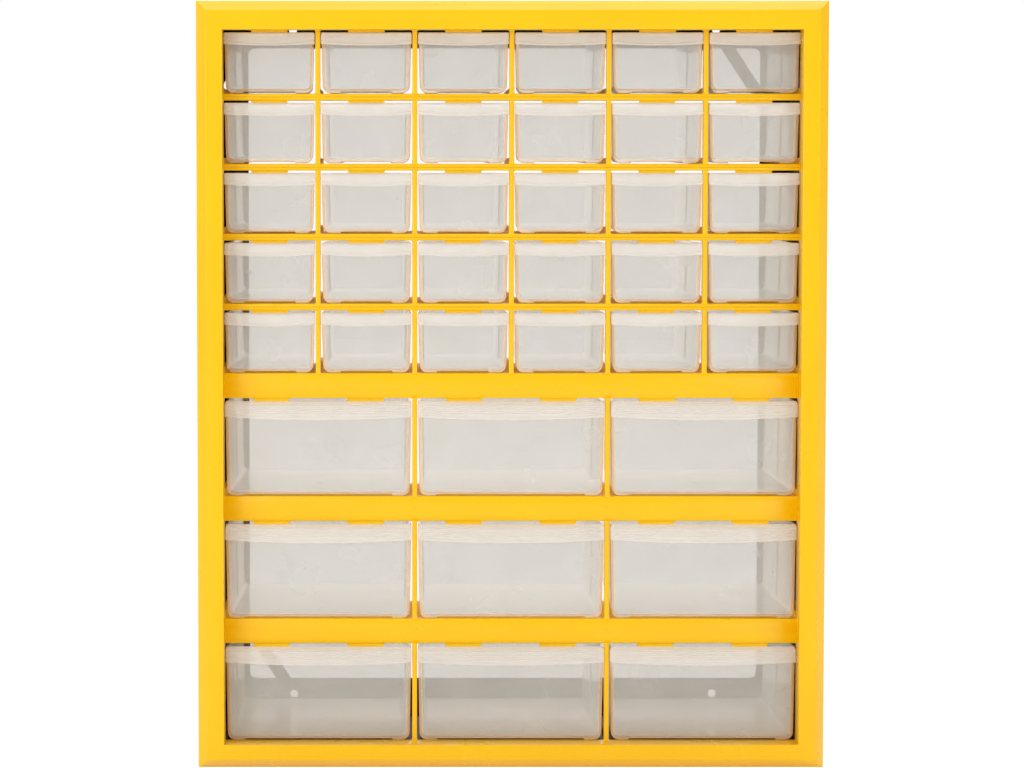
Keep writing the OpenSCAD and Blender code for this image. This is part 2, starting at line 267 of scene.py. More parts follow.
@dataclass(frozen=True)
class MilkyPolypropylene:
    """Unfilled polypropylene, thin-walled: clear in the mass, but milky and cloudy.

    Attributes:
        name: Name of the material.
        colour: Colour of the light that the milky wall scatters.
        slant_colour: The same at a grazing angle.
        density: Share of light that one surface holds back, seen straight on.
        edge_density: The same at a grazing angle, where the way through is longer.
        passing: Share of the density that counts for light on its way to other surfaces,
            because a milky wall scatters most of its light onwards.
        slant_power: How late the density rises as the wall turns to a grazing angle.
        cloud_mm: Size of the clouds.
        cloud_share: How much thinner the clouds' gaps are, as a share of the density.
        roughness: Roughness of the skin.
        ripple_mm: Size of the shallow ripples left as the wall shrank.
        ripple_depth_mm: Their depth.
        ripple_strength: How strongly they show.
        ior: Index of refraction.
    """

    name: str
    colour: str
    slant_colour: str
    density: float
    edge_density: float
    passing: float = 0.12
    slant_power: float = 2.0
    cloud_mm: float = 24.0
    cloud_share: float = 0.14
    roughness: float = 0.13
    ripple_mm: float = 16.0
    ripple_depth_mm: float = 0.03
    ripple_strength: float = 0.3
    ior: float = 1.49

    def material(self) -> Material:
        """Makes the material, in Object coordinates."""
        material, tree = new_tree(self.name)
        place = add_node(tree, "TexCoord").outputs["Object"]
        cloud = add_node(
            tree, "TexNoise", {"Scale": per_mm(self.cloud_mm), "Detail": 2.0}, {"Vector": place}
        )
        thinness = add_node(
            tree,
            "MapRange",
            {"From Min": NOISE_LOW, "From Max": NOISE_HIGH, "To Min": 1.0 - self.cloud_share},
            {"Value": cloud.outputs["Fac"]},
        )
        slant = add_node(
            tree,
            "Math",
            {"operation": "POWER", 1: self.slant_power},
            {0: add_node(tree, "LayerWeight", {"Blend": 0.5}).outputs["Facing"]},
        )
        colour = add_node(
            tree,
            "Mix",
            {"data_type": "RGBA", 6: linear(self.colour), 7: linear(self.slant_colour)},
            {0: slant.outputs[0]},
        )
        held = add_node(
            tree,
            "MapRange",
            {"To Min": self.density, "To Max": self.edge_density},
            {"Value": slant.outputs[0]},
        )
        seen = add_node(
            tree,
            "Math",
            {"operation": "MULTIPLY"},
            {0: held.outputs[0], 1: thinness.outputs[0]},
        )
        share = add_node(
            tree,
            "MapRange",
            {"To Min": 1.0, "To Max": self.passing},
            {"Value": ray_is(tree, "Shadow", "Diffuse")},
        )
        alpha = add_node(
            tree,
            "Math",
            {"operation": "MULTIPLY"},
            {0: seen.outputs[0], 1: share.outputs[0]},
        )
        ripple = add_node(
            tree, "TexNoise", {"Scale": per_mm(self.ripple_mm), "Detail": 1.0}, {"Vector": place}
        )
        bump = add_node(
            tree,
            "Bump",
            {"Strength": self.ripple_strength, "Distance": self.ripple_depth_mm * MM},
            {"Height": ripple.outputs["Fac"]},
        )
        surface = add_node(
            tree,
            "BsdfPrincipled",
            {"Roughness": self.roughness, "IOR": self.ior},
            {
                "Base Color": colour.outputs[2],
                "Alpha": alpha.outputs[0],
                "Normal": bump.outputs["Normal"],
            },
        )
        add_node(tree, "OutputMaterial", links={"Surface": surface.outputs[0]})
        return material


# Impact polystyrene from a polished mould: even, saturated and glossy, with a trace of orange
# peel that breaks up the lamps' reflections
GLOSS_YELLOW = MouldedPlastic(
    name="gloss_polystyrene_yellow",
    colour="#fbc400",
    flow_colour="#fac100",
    flow_mm=60.0,
    gloss=(0.26, 0.32),
    gloss_mm=30.0,
    skin_mm=1.4,
    skin_depth_mm=0.05,
    skin_strength=0.18,
    specular=0.34,
    ior=1.5,
)

# The same resin on the shelves, which the mould's slides leave dull
SATIN_YELLOW = MouldedPlastic(
    name="satin_polystyrene_yellow",
    colour="#fbc000",
    flow_colour="#fabc00",
    flow_mm=60.0,
    gloss=(0.5, 0.56),
    gloss_mm=30.0,
    skin_mm=1.0,
    skin_depth_mm=0.05,
    skin_strength=0.25,
    specular=0.2,
    ior=1.5,
)

# The same resin in black from a spark-eroded mould: a fine matt grain, here drawn at 0.8 mm,
# about three times the real one, so that it shows
SATIN_BLACK = MouldedPlastic(
    name="satin_polystyrene_black",
    colour="#131416",
    flow_colour="#151618",
    flow_mm=60.0,
    gloss=(0.46, 0.5),
    gloss_mm=25.0,
    skin_mm=0.8,
    skin_depth_mm=0.08,
    skin_strength=0.3,
    specular=0.4,
    ior=1.5,
)

# The drawers' walls
MILKY_WALL = MilkyPolypropylene(
    name="milky_polypropylene",
    colour="#dfdbd2",
    slant_colour="#f0ece5",
    density=0.34,
    edge_density=0.97,
)

# Their rounded front edges, tinted cream and, at a grazing angle, orange: a painted reflection of
# the yellow frame beside them
MILKY_EDGE_PAINTED_REFLECTION = MilkyPolypropylene(
    name="milky_polypropylene_edge",
    colour="#f4dcba",
    slant_colour="#ffc67c",
    density=0.3,
    edge_density=0.85,
    slant_power=0.6,
)

# The lips, which are doubled over the front wall and so look whiter
MILKY_LIP = MilkyPolypropylene(
    name="milky_polypropylene_lip",
    colour="#ede4d8",
    slant_colour="#f4ece0",
    density=0.42,
    edge_density=0.9,
    roughness=0.14,
    ripple_depth_mm=0.0,
)


# ---- meshes ----------------------------------------------


def bevel(bm: BMesh, edges: Iterable[BMEdge], offset: float, segments: int) -> list[BMFace]:
    """Rounds edges of a mesh.

    Args:
        bm: Mesh.
        edges: Its edges to round.
        offset: Distance of the round's ends from each edge.
        segments: Number of faces across the round.

    Returns:
        The faces of the rounds.
    """
    made = bmesh.ops.bevel(
        bm,
        geom=list(edges),
        offset=offset,
        offset_type="OFFSET",
        segments=segments,
        profile=0.5,
        affect="EDGES",
        material=-1,
    )
    return made["faces"]


def cut(bm: BMesh, verts: Iterable[BMVert], point: Vector, normal: Vector) -> None:
    """Cuts the part of a mesh that uses some vertices along a plane, and keeps both sides.

    Args:
        bm: Mesh.
        verts: Vertices of the part.
        point: A point on the plane.
        normal: The plane's normal.
    """
    faces = {f for v in verts for f in v.link_faces}
    edges = {e for f in faces for e in f.edges}
    corners = {v for f in faces for v in f.verts}
    bmesh.ops.bisect_plane(
        bm, geom=[*corners, *edges, *faces], dist=WELD, plane_co=point, plane_no=normal
    )


def box_between(
    bm: BMesh, place: Callable[[bool, bool, bool], tuple[float, float, float]]
) -> list[BMVert]:
    """Adds a box whose eight corners are set one by one.

    Args:
        bm: Mesh to add to.
        place: Gives a corner's place from whether it is at the right, at the back and on top.

    Returns:
        The box's vertices.
    """
    verts = bmesh.ops.create_cube(bm, size=1.0)["verts"]
    for vert in verts:
        vert.co = Vector(place(vert.co.x > 0, vert.co.y > 0, vert.co.z > 0))
    return verts


def thicken(bm: BMesh, wall: float) -> None:
    """Gives an open skin a wall behind it.

    Args:
        bm: Mesh of the skin, whose faces point outwards.
        wall: Thickness of the wall.
    """
    bm.normal_update()
    inward = {tuple(round(c, 4) for c in v.co): -wall * v.normal for v in bm.verts}
    made = bmesh.ops.extrude_face_region(bm, geom=bm.faces[:], use_keep_orig=True)["geom"]
    for vert in made:
        if isinstance(vert, BMVert):
            vert.co += inward[tuple(round(c, 4) for c in vert.co)]
    bmesh.ops.recalc_face_normals(bm, faces=bm.faces)


def finish_mesh(bm: BMesh, name: str) -> Mesh:
    """Turns a bmesh in millimetres into a smooth-shaded mesh in metres, and frees it.

    Args:
        bm: Mesh in millimetres.
        name: Name of the new mesh.

    Returns:
        The new mesh.
    """
    bmesh.ops.scale(bm, vec=(MM, MM, MM), verts=bm.verts)
    mesh = bpy.data.meshes.new(name)
    bm.to_mesh(mesh)
    bm.free()
    mesh.polygons.foreach_set("use_smooth", [True] * len(mesh.polygons))
    mesh.set_sharp_from_angle(angle=EDGE_ANGLE)
    return mesh


def add_piece(name: str, mesh: Mesh, body: str, slot: Slot, *nodes: str) -> Object:
    """Adds a finished mesh as a piece of the object.

    Args:
        name: Name of the piece.
        mesh: Its mesh, in place.
        body: CAD body that it moves with.
        slot: Material slot of its finish; not used.
        nodes: CAD nodes that it stands for.

    Returns:
        The new object.
    """
    piece = bpy.data.objects.new(name, mesh)
    bpy.context.scene.collection.objects.link(piece)
    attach(piece, body)
    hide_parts(*nodes)
    LOG.info("%s: %d faces on %s", name, len(mesh.polygons), body)
    return piece


# ---- mouldings from the CAD ------------------------------


@dataclass(frozen=True)
class Moulding:
    """A rigid moulding that keeps its CAD shape and gets softened edges.

    Attributes:
        node: CAD node that it stands for.
        slot: Its material slot.
        edge_mm: Radius of the softened edges.
        segments: Faces across such an edge.
    """

    node: str
    slot: Slot
    edge_mm: float = 0.3
    segments: int = 2

    def shape(self, bm: BMesh) -> None:
        """Changes the merged copy of the node, in metres, before its edges are softened."""

    def build(self, material: Material) -> Object:
        """Copies the node, merges the copy and softens its edges.

        Args:
            material: Its finish.

        Returns:
            The piece.
        """
        source = bpy.data.objects[self.node]
        bm = bmesh.new()
        bm.from_mesh(source.data)
        bmesh.ops.remove_doubles(bm, verts=bm.verts, dist=WELD)
        bmesh.ops.dissolve_limit(
            bm,
            angle_limit=FLAT_ANGLE,
            use_dissolve_boundaries=False,
            verts=bm.verts,
            edges=bm.edges,
        )
        self.shape(bm)
        mesh = bpy.data.meshes.new(self.node + "_moulding")
        bm.to_mesh(mesh)
        bm.free()
        mesh.materials.append(material)
        mesh.polygons.foreach_set("use_smooth", [True] * len(mesh.polygons))
        piece = add_piece(self.node + "_moulding", mesh, CABINET, self.slot, self.node)
        edge = piece.modifiers.new("softened_edges", "BEVEL")
        edge.width = self.edge_mm * MM
        edge.segments = self.segments
        edge.limit_method = "ANGLE"
        edge.angle_limit = EDGE_ANGLE
        edge.use_clamp_overlap = False
        edge.harden_normals = True
        return piece


@dataclass(frozen=True)
class Bars(Moulding):
    """Bars between the side rails.

    Attributes:
        crown_mm: How far the middle of a bar's face stands out over its edges.
        end_mm: How far a bar runs into the rails, so that no groove shows.
        strips: Number of strips that a crowned face is cut into.
    """

    crown_mm: float = 0.12
    end_mm: float = 0.8
    strips: int = 6

    def shape(self, bm: BMesh) -> None:
        """Lengthens the bars at both ends and crowns their faces."""
        reach = max(abs(v.co.x) for v in bm.verts)
        for vert in bm.verts:
            if abs(vert.co.x) > reach - WELD:
                vert.co.x += math.copysign(self.end_mm * MM, vert.co.x)
        front = min(v.co.y for v in bm.verts) + WELD
        levels = sorted({round(v.co.z, 6) for v in bm.verts if v.co.y < front})
        for low, high in zip(levels[::2], levels[1::2]):
            for i in range(1, self.strips):
                verts = [v for v in bm.verts if low - WELD < v.co.z < high + WELD]
                height = low + (high - low) * i / self.strips
                cut(bm, verts, Vector((0, 0, height)), Vector((0, 0, 1)))
            for vert in bm.verts:
                if vert.co.y < front and low - WELD < vert.co.z < high + WELD:
                    across = 2 * (vert.co.z - low) / (high - low) - 1
                    vert.co.y += self.crown_mm * MM * across**2


@dataclass(frozen=True)
class Shelf(Moulding):
    """A shelf that leans back a little, which keeps the drawers in.

    Attributes:
        lean_mm: How much lower its rear edge is than its front.
    """

    lean_mm: float = 1.2

    def shape(self, bm: BMesh) -> None:
        """Lowers the shelf towards its rear edge."""
        front = min(v.co.y for v in bm.verts)
        depth = max(v.co.y for v in bm.verts) - front
        for vert in bm.verts:
            vert.co.z -= self.lean_mm * MM * (vert.co.y - front) / depth


@dataclass(frozen=True)
class Posts(Moulding):
    """Posts between the columns, which flare into the bars above and below them.

    Attributes:
        flare_mm: Radius of the flares.
        root_mm: How far a post runs into the bars.
        steps: Number of strips that a flare is cut into.
        crowding: How much closer the strips lie at a post's ends.
    """

    flare_mm: float = 0.9
    root_mm: float = 0.5
    steps: int = 4
    crowding: float = 1.6

    def shape(self, bm: BMesh) -> None:
        """Flares both ends of every post and roots them in the bars."""
        ends = sorted({round(v.co.z, 6) for v in bm.verts})
        lows, highs = ends[::2], ends[1::2]
        flare = self.flare_mm * MM
        for low, high in zip(lows, highs):
            for step in range(1, self.steps + 1):
                drop = flare * (step / self.steps) ** self.crowding
                for z in (low + drop, high - drop):
                    cut(bm, bm.verts, Vector((0, 0, z)), Vector((0, 0, 1)))
        for centre, verts in self.columns(bm):
            for vert in verts:
                gap = min(abs(vert.co.z - z) for z in ends)
                if gap < flare:
                    grow = flare - math.sqrt(max(flare**2 - (flare - gap) ** 2, 0.0))
                    vert.co.x += math.copysign(grow, vert.co.x - centre)
        for vert in bm.verts:
            if any(abs(vert.co.z - z) < WELD for z in lows):
                vert.co.z -= self.root_mm * MM
            elif any(abs(vert.co.z - z) < WELD for z in highs):
                vert.co.z += self.root_mm * MM

    @staticmethod
    def columns(bm: BMesh) -> list[tuple[float, list[BMVert]]]:
        """Groups the vertices by post column, each with the column's middle."""
        ordered = sorted(bm.verts, key=lambda v: v.co.x)
        groups: list[list[BMVert]] = [[ordered[0]]]
        for vert in ordered[1:]:
            if vert.co.x - groups[-1][-1].co.x > COLUMN_GAP:
                groups.append([])
            groups[-1].append(vert)
        return [((g[0].co.x + g[-1].co.x) / 2, g) for g in groups]


@dataclass(frozen=True)
class GateMarks:
    """The small domes left where the melt came into the front frame, on its bars.

    Attributes:
        spots: X and Z of each mark.
        face_y: Y of the bars' face.
        radius: Radius of a mark.
        rise: How far a mark stands proud.
        top_share: Radius of its top, as a share of its own.
        round_share: Radius of the round about its top, as a share of its own.
        sides: Number of its sides.
    """

    spots: tuple[tuple[float, float], ...]
    face_y: float = -63.4
    radius: float = 0.75
    rise: float = 0.2
    top_share: float = 0.55
    round_share: float = 0.2
    sides: int = 20

    def build(self, material: Material) -> Object:
        """Makes all the marks as one piece.

        Args:
            material: The frame's finish.

        Returns:
            The piece.
        """
        bm = bmesh.new()
        for x, z in self.spots:
            place = Matrix.Translation((x, self.face_y, z)) @ Matrix.Rotation(math.pi / 2, 4, "X")
            verts = bmesh.ops.create_cone(
                bm,
                cap_ends=True,
                segments=self.sides,
                radius1=self.radius,
                radius2=self.radius * self.top_share,
                depth=2 * self.rise,
                matrix=place,
            )["verts"]
            front = min(v.co.y for v in verts)
            rim = {
                e
                for v in verts
                for e in v.link_edges
                if all(abs(u.co.y - front) < NEAR for u in e.verts)
            }
            bevel(bm, rim, self.radius * self.round_share, segments=2)
        mesh = finish_mesh(bm, "gate_marks")
        mesh.materials.append(material)
        return add_piece("gate_marks", mesh, CABINET, Slot.YELLOW)


# ---- drawers ---------------------------------------------


@dataclass(frozen=True)
class Drawer:
    """One kind of drawer: a thin tapered tub with skids, partition ribs and a bowed lip.

    In its own millimetres the drawer's front wall starts at Y = 0 and its skids at Z = 0.

    Attributes:
        name: What the kind is called.
        width: Width of the tub at its rim, in front.
        height: Height of the tub in front.
        rear_drop: How much lower its rear is.
        lip_width: Width of the lip.
        lip_height: Height of the lip at its ends.
        lip_sag: How much lower the lip's edge hangs in the middle.
        bead_sag: The same for the upper line of its bead.
        bead_h: Height of the bead at the lip's ends.
        lip_end_r: Radius of the lip's upper corners.
        grip_ribs: Number of fine ribs across the lip.
        floor_mark: Whether the floor carries a gate mark.
        length: Length of the tub.
        wall: Thickness of its walls.
        taper: How much narrower each side is at the rear.
        draft: How much narrower each side is at the floor.
        long_edge_r: Radius of the lower edges along the sides.
        end_edge_r: Radius of the edges round the front and rear walls.
        inner_edge_r: Least radius of those edges on the inside.
        rim_r: Radius of the rim's edges.
        skid_h, skid_w: Height and width of the skids.
        skid_step: Width of the slant at a skid's inner side.
        lip_reach: How far the lip stands out at its ends.
        lip_wall: Thickness of the lip.
        lip_bulge: How much further it stands out in the middle.
        lip_root: How far it runs into the front wall.
        lip_edge_r: Radius of its front edges.
        lip_cuts: Number of strips across it, which let it bow.
        plain_h: Height of the upper part of a plain lip, which doesn't sag.
        bead_t: How far the bead stands out.
        bead_side, bead_foot: Height of the bead's rounded upper and lower side.
        bead_share: How far those sides stand out, as a share of the bead.
        rib_pitch, rib_h, rib_t: Spacing, height and thickness of the fine ribs.
        rib_side: Height of a fine rib's slanted side.
        rib_end_gap: Gap from the fine ribs to the lip's ends.
        rib_run_out: Length over which they run out.
        partition_rib_w, partition_rib_t: Width and thickness of a partition rib.
        partition_rib_r: Radius of its edges.
        partition_gap: Gap that holds the partition.
        partition_share: Height of the partition ribs, as a share of the tub's.
        root: How far the partition ribs run into the side walls.
        mark_r, mark_top_r, mark_h: Lower and upper radius and height of the gate mark.
        mark_rise: Height of its middle over the floor.
        mark_place: Its place along the tub, as a share of the length.
        mark_sides: Number of its sides.
    """

    name: str
    width: float
    height: float
    rear_drop: float
    lip_width: float
    lip_height: float
    lip_sag: float
    bead_sag: float
    bead_h: float
    lip_end_r: float
    grip_ribs: int
    floor_mark: bool
    length: float = 135.0
    wall: float = 1.4
    taper: float = 2.8
    draft: float = 0.9
    long_edge_r: float = 4.4
    end_edge_r: float = 2.2
    inner_edge_r: float = 0.9
    rim_r: float = 0.35
    skid_h: float = 0.8
    skid_w: float = 11.0
    skid_step: float = 0.3
    lip_reach: float = 2.4
    lip_wall: float = 1.3
    lip_bulge: float = 2.6
    lip_root: float = 0.3
    lip_edge_r: float = 0.6
    lip_cuts: int = 26
    plain_h: float = 1.5
    bead_t: float = 0.8
    bead_side: float = 0.4
    bead_foot: float = 0.3
    bead_share: float = 0.7
    rib_pitch: float = 1.1
    rib_h: float = 0.55
    rib_t: float = 0.6
    rib_side: float = 0.17
    rib_end_gap: float = 2.5
    rib_run_out: float = 0.3
    partition_rib_w: float = 1.2
    partition_rib_t: float = 0.6
    partition_rib_r: float = 0.2
    partition_gap: float = 1.8
    partition_share: float = 0.8
    root: float = 0.05
    mark_r: float = 2.4
    mark_top_r: float = 2.0
    mark_h: float = 0.3
    mark_rise: float = 0.1
    mark_place: float = 0.42
    mark_sides: int = 28

    def half_at(self, y: float, z: float, inset: float) -> float:
        """Gives the half width of the tub at a depth and height, moved in by inset."""
        lean = self.taper * y / self.length
        return self.width / 2 - inset - lean - self.draft * (1 - z / self.height)

    def top_at(self, y: float) -> float:
        """Gives the height of the tub's rim at a depth."""
        return self.height - self.rear_drop * y / self.length

    def shell(self, bm: BMesh, inset: float, floor: float) -> list[BMFace]:
        """Adds one skin of the tub: a box open on top, with rounded edges.

        Args:
            bm: Mesh to add to.
            inset: How far the skin lies inside the outer one.
            floor: Height of its floor.

        Returns:
            The faces of the rounded edge round its front, which carry the painted reflection of
            the yellow frame.
        """

        def corner(right: bool, back: bool, top: bool) -> tuple[float, float, float]:
            y = self.length - inset if back else inset
            z = self.top_at(y) if top else floor
            half = self.half_at(y, z, inset)
            return half if right else -half, y, z

        known = set(bm.verts)
        verts = box_between(bm, corner)
        middle = self.height / 2
        lid = {f for v in verts for f in v.link_faces if all(u.co.z > middle for u in f.verts)}
        bmesh.ops.delete(bm, geom=list(lid), context="FACES_ONLY")
        long_edges = {
            e
            for v in verts
            for e in v.link_edges
            if all(u.co.z < floor + NEAR for u in e.verts)
            and abs(e.verts[0].co.y - e.verts[1].co.y) > RUN
        }
        bevel(bm, long_edges, self.long_edge_r - inset, segments=6)
        fronts: list[BMFace] = []
        for y in (self.length - inset, inset):
            outline = [
                e
                for e in bm.edges
                if not e.is_boundary
                and e.verts[0] not in known
                and all(abs(u.co.y - y) < NEAR for u in e.verts)
            ]
            radius = max(self.end_edge_r - inset, self.inner_edge_r)
            fronts = bevel(bm, outline, radius, segments=4)
        return fronts

    def skids(self, bm: BMesh) -> None:
        """Raises the floor between the two skids, on the outer skin."""
        run = Vector((self.length, self.taper, 0)).normalized()
        for side in (-1, 1):
            normal = Vector((run.x * side, run.y, 0))
            for inward in (0.0, self.skid_step):
                point = Vector((side * (self.width / 2 - self.skid_w - inward), 0, 0))
                cut(bm, bm.verts, point, normal)
        top = self.end_edge_r
        for vert in bm.verts:
            lean = self.taper * vert.co.y / self.length
            edge = self.width / 2 - self.skid_w - self.skid_step - lean
            if vert.co.z < top - 2 * NEAR and abs(vert.co.x) < edge + 2 * NEAR:
                vert.co.z = self.skid_h + vert.co.z * (top - self.skid_h) / top

    def tub(self, bm: BMesh) -> None:
        """Adds the tub: outer and inner skin, joined by a rounded rim."""
        painted_reflection_faces = self.shell(bm, 0.0, 0.0)
        painted_reflection_faces += self.shell(bm, self.wall, self.skid_h + self.wall)
        # The rounded front edges take the second finish, whose cream and orange are a painted
        # reflection of the yellow frame
        for face in painted_reflection_faces:
            face.material_index = 1
        self.skids(bm)
        self.rim(bm)
        bmesh.ops.recalc_face_normals(bm, faces=bm.faces)
        corners = [
            e
            for e in bm.edges
            if all(v.co.z > self.top_at(v.co.y) - 2 * NEAR for v in e.verts)
            and any(abs(f.normal.z) < UPRIGHT for f in e.link_faces)
        ]
        bevel(bm, corners, self.rim_r, segments=2)

    def rim(self, bm: BMesh) -> None:
        """Joins the two skins along their upper edges.

        The inner edge is lifted while they are joined, because two loops in one plane are
        joined crosswise.
        """
        rims = [e for e in bm.edges if e.is_boundary]
        outer = min((v for e in rims for v in e.verts), key=lambda v: v.co.y)
        loop = {outer}
        grown = [outer]
        while grown:
            vert = grown.pop()
            for edge in vert.link_edges:
                other = edge.other_vert(vert)
                if edge.is_boundary and other not in loop:
                    loop.add(other)
                    grown.append(other)
        inner = {v for e in rims for v in e.verts} - loop
        for vert in inner:
            vert.co.z += self.height
        bmesh.ops.bridge_loops(bm, edges=rims)
        for vert in inner:
            vert.co.z -= self.height

    def lip(self) -> BMesh:
        """Makes the lip: a bowed hood with a bead along its edge, open below and behind."""
        bm = bmesh.new()
        half = self.lip_width / 2

        def corner(right: bool, back: bool, top: bool) -> tuple[float, float, float]:
            return (
                half if right else -half,
                self.lip_root if back else -self.lip_reach,
                0.0 if top else -self.lip_height,
            )

        verts = box_between(bm, corner)
        gone = {
            f
            for v in verts
            for f in v.link_faces
            if all(u.co.z < -RUN for u in f.verts) or all(u.co.y > 0 for u in f.verts)
        }
        bmesh.ops.delete(bm, geom=list(gone), context="FACES")
        ends = [
            e
            for e in bm.edges
            if all(abs(v.co.x) > half - NEAR and v.co.z > -NEAR for v in e.verts)
        ]
        bevel(bm, ends, self.lip_end_r, segments=4)
        front = [
            e
            for e in bm.edges
            if not e.is_boundary and all(v.co.y < NEAR - self.lip_reach for v in e.verts)
        ]
        bevel(bm, front, self.lip_edge_r, segments=3)
        thicken(bm, self.lip_wall)
        self.lip_relief(bm)
        for vert in bm.verts:
            bow = 1 - (vert.co.x / half) ** 2
            forward = min(max(-vert.co.y / self.lip_reach, 0.0), 1.0)
            vert.co.y -= self.lip_bulge * bow * forward
            vert.co.z -= bow * self.sag_at(vert.co.z)
        bmesh.ops.recalc_face_normals(bm, faces=bm.faces)
        return bm

    def sag_at(self, z: float) -> float:
        """Gives how much a point of the lip, z from its top, hangs lower in the middle."""
        plain = -self.plain_h
        if self.grip_ribs:
            plain = -self.grip_ribs * self.rib_pitch - self.rib_h - 5 * NEAR
        bead_low = self.bead_h - self.lip_height - self.bead_side
        if z > bead_low:
            share = (plain - z) / (plain - bead_low - self.bead_side)
            return self.bead_sag * min(max(share, 0.0), 1.0)
        share = (bead_low - z) / (bead_low + self.lip_height)
        return self.bead_sag + (self.lip_sag - self.bead_sag) * share

    def lip_relief(self, bm: BMesh) -> None:
        """Cuts the lip's skin into strips and raises the bead and the fine ribs."""
        half = self.lip_width / 2
        for i in range(1, self.lip_cuts):
            x = self.lip_width * (i / self.lip_cuts - 0.5)
            cut(bm, bm.verts, Vector((x, 0, 0)), Vector((1, 0, 0)))
        bead_top = self.bead_h - self.lip_height
        levels = [bead_top, bead_top - self.bead_side / 2, bead_top - self.bead_side]
        levels.append(self.bead_foot - self.lip_height)
        rib_half = half - self.rib_end_gap
        crests: list[tuple[float, float]] = []
        for i in range(1, self.grip_ribs + 1):
            high = -i * self.rib_pitch
            low = high - self.rib_h
            crest = (low + self.rib_side, high - self.rib_side)
            crests.append(crest)
            levels += [high, crest[1], crest[0], low]
        for z in levels:
            cut(bm, bm.verts, Vector((0, 0, z)), Vector((0, 0, 1)))
        if self.grip_ribs:
            run_out = rib_half + self.rib_run_out
            for x in (-run_out, -rib_half, rib_half, run_out):
                cut(bm, bm.verts, Vector((x, 0, 0)), Vector((1, 0, 0)))
        for vert in bm.verts:
            if vert.co.y > -self.lip_reach / 2:
                continue
            z = vert.co.z
            on_foot = z < self.bead_foot / 3 - self.lip_height
            if z < bead_top - 0.75 * self.bead_side:
                vert.co.y -= self.bead_t * (self.bead_share if on_foot else 1.0)
            elif z < bead_top - self.bead_side / 4:
                vert.co.y -= self.bead_t * self.bead_share
            elif abs(vert.co.x) < rib_half + NEAR and any(
                base - NEAR < z < top + NEAR for base, top in crests
            ):
                vert.co.y -= self.rib_t

    def partition_ribs(self, bm: BMesh) -> None:
        """Adds two upright ribs on the inside of each side wall."""
        low = self.skid_h + self.wall - 2 * self.root
        high = self.height * self.partition_share
        offsets = (-self.partition_gap / 2 - self.partition_rib_w, self.partition_gap / 2)
        for side in (-1, 1):
            for offset in offsets:
                front = self.length / 2 + offset

                def corner(right: bool, back: bool, top: bool) -> tuple[float, float, float]:
                    y = front + (self.partition_rib_w if back else 0.0)
                    z = high if top else low
                    depth = 0.0 if right == (side > 0) else self.partition_rib_t
                    return side * (self.half_at(y, z, self.wall) + self.root - depth), y, z

                verts = box_between(bm, corner)
                inner = {
                    e
                    for v in verts
                    for e in v.link_edges
                    if abs(e.verts[0].co.z - e.verts[1].co.z) > RUN
                    and all(
                        abs(u.co.x)
                        < self.half_at(u.co.y, u.co.z, self.wall) - self.partition_rib_t / 2
                        for u in e.verts
                    )
                }
                bevel(bm, inner, self.partition_rib_r, segments=2)

    def mark(self, bm: BMesh) -> None:
        """Adds the low ring on the floor where the melt came in."""
        height = self.skid_h + self.wall + self.mark_rise
        bmesh.ops.create_cone(
            bm,
            cap_ends=True,
            segments=self.mark_sides,
            radius1=self.mark_r,
            radius2=self.mark_top_r,
            depth=self.mark_h,
            matrix=Matrix.Translation((0, self.length * self.mark_place, height)),
        )

    def build(self, materials: list[Material]) -> Mesh:
        """Makes the kind's mesh, at its own origin.

        Args:
            materials: Finishes of the walls, the rounded front edge, with its painted reflection
                of the yellow frame, and the lip.

        Returns:
            The mesh, in metres.
        """
        bm = bmesh.new()
        self.tub(bm)
        self.partition_ribs(bm)
        if self.floor_mark:
            self.mark(bm)
        lip = self.lip()
        bmesh.ops.translate(lip, vec=(0, 0, self.height), verts=lip.verts)
        for face in lip.faces:
            face.material_index = 2
        lip_mesh = bpy.data.meshes.new("lip")
        lip.to_mesh(lip_mesh)
        lip.free()
        bm.from_mesh(lip_mesh)
        bpy.data.meshes.remove(lip_mesh)
        mesh = finish_mesh(bm, self.name)
        for material in materials:
            mesh.materials.append(material)
        return mesh

    def place(self, mesh: Mesh, node: str) -> Object:
        """Puts a copy of the kind's mesh where a CAD drawer is.

        Args:
            mesh: The kind's mesh.
            node: The CAD drawer, whose body has the same name.

        Returns:
            The piece.
        """
        low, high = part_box(node)
        copy = mesh.copy()
        copy.transform(
            Matrix.Translation(((low.x + high.x) / 2, high.y - self.length * MM, low.z))
        )
        return add_piece(node + "_clear", copy, node, Slot.CLEAR, node)


SMALL_DRAWER = Drawer(
    name="small_drawer",
    width=52.3,
    height=35.0,
    rear_drop=1.5,
    lip_width=52.717,
    lip_height=6.7,
    lip_sag=0.9,
    bead_sag=2.0,
    bead_h=2.2,
    lip_end_r=1.0,
    grip_ribs=0,
    floor_mark=False,
)
LARGE_DRAWER = Drawer(
    name="large_drawer",
    width=108.6,
    height=55.4,
    rear_drop=1.5,
    lip_width=108.933,
    lip_height=9.0,
    lip_sag=1.5,
    bead_sag=1.5,
    bead_h=1.6,
    lip_end_r=2.4,
    grip_ribs=6,
    floor_mark=True,
    lip_cuts=32,
)


# ---- the cabinet -----------------------------------------


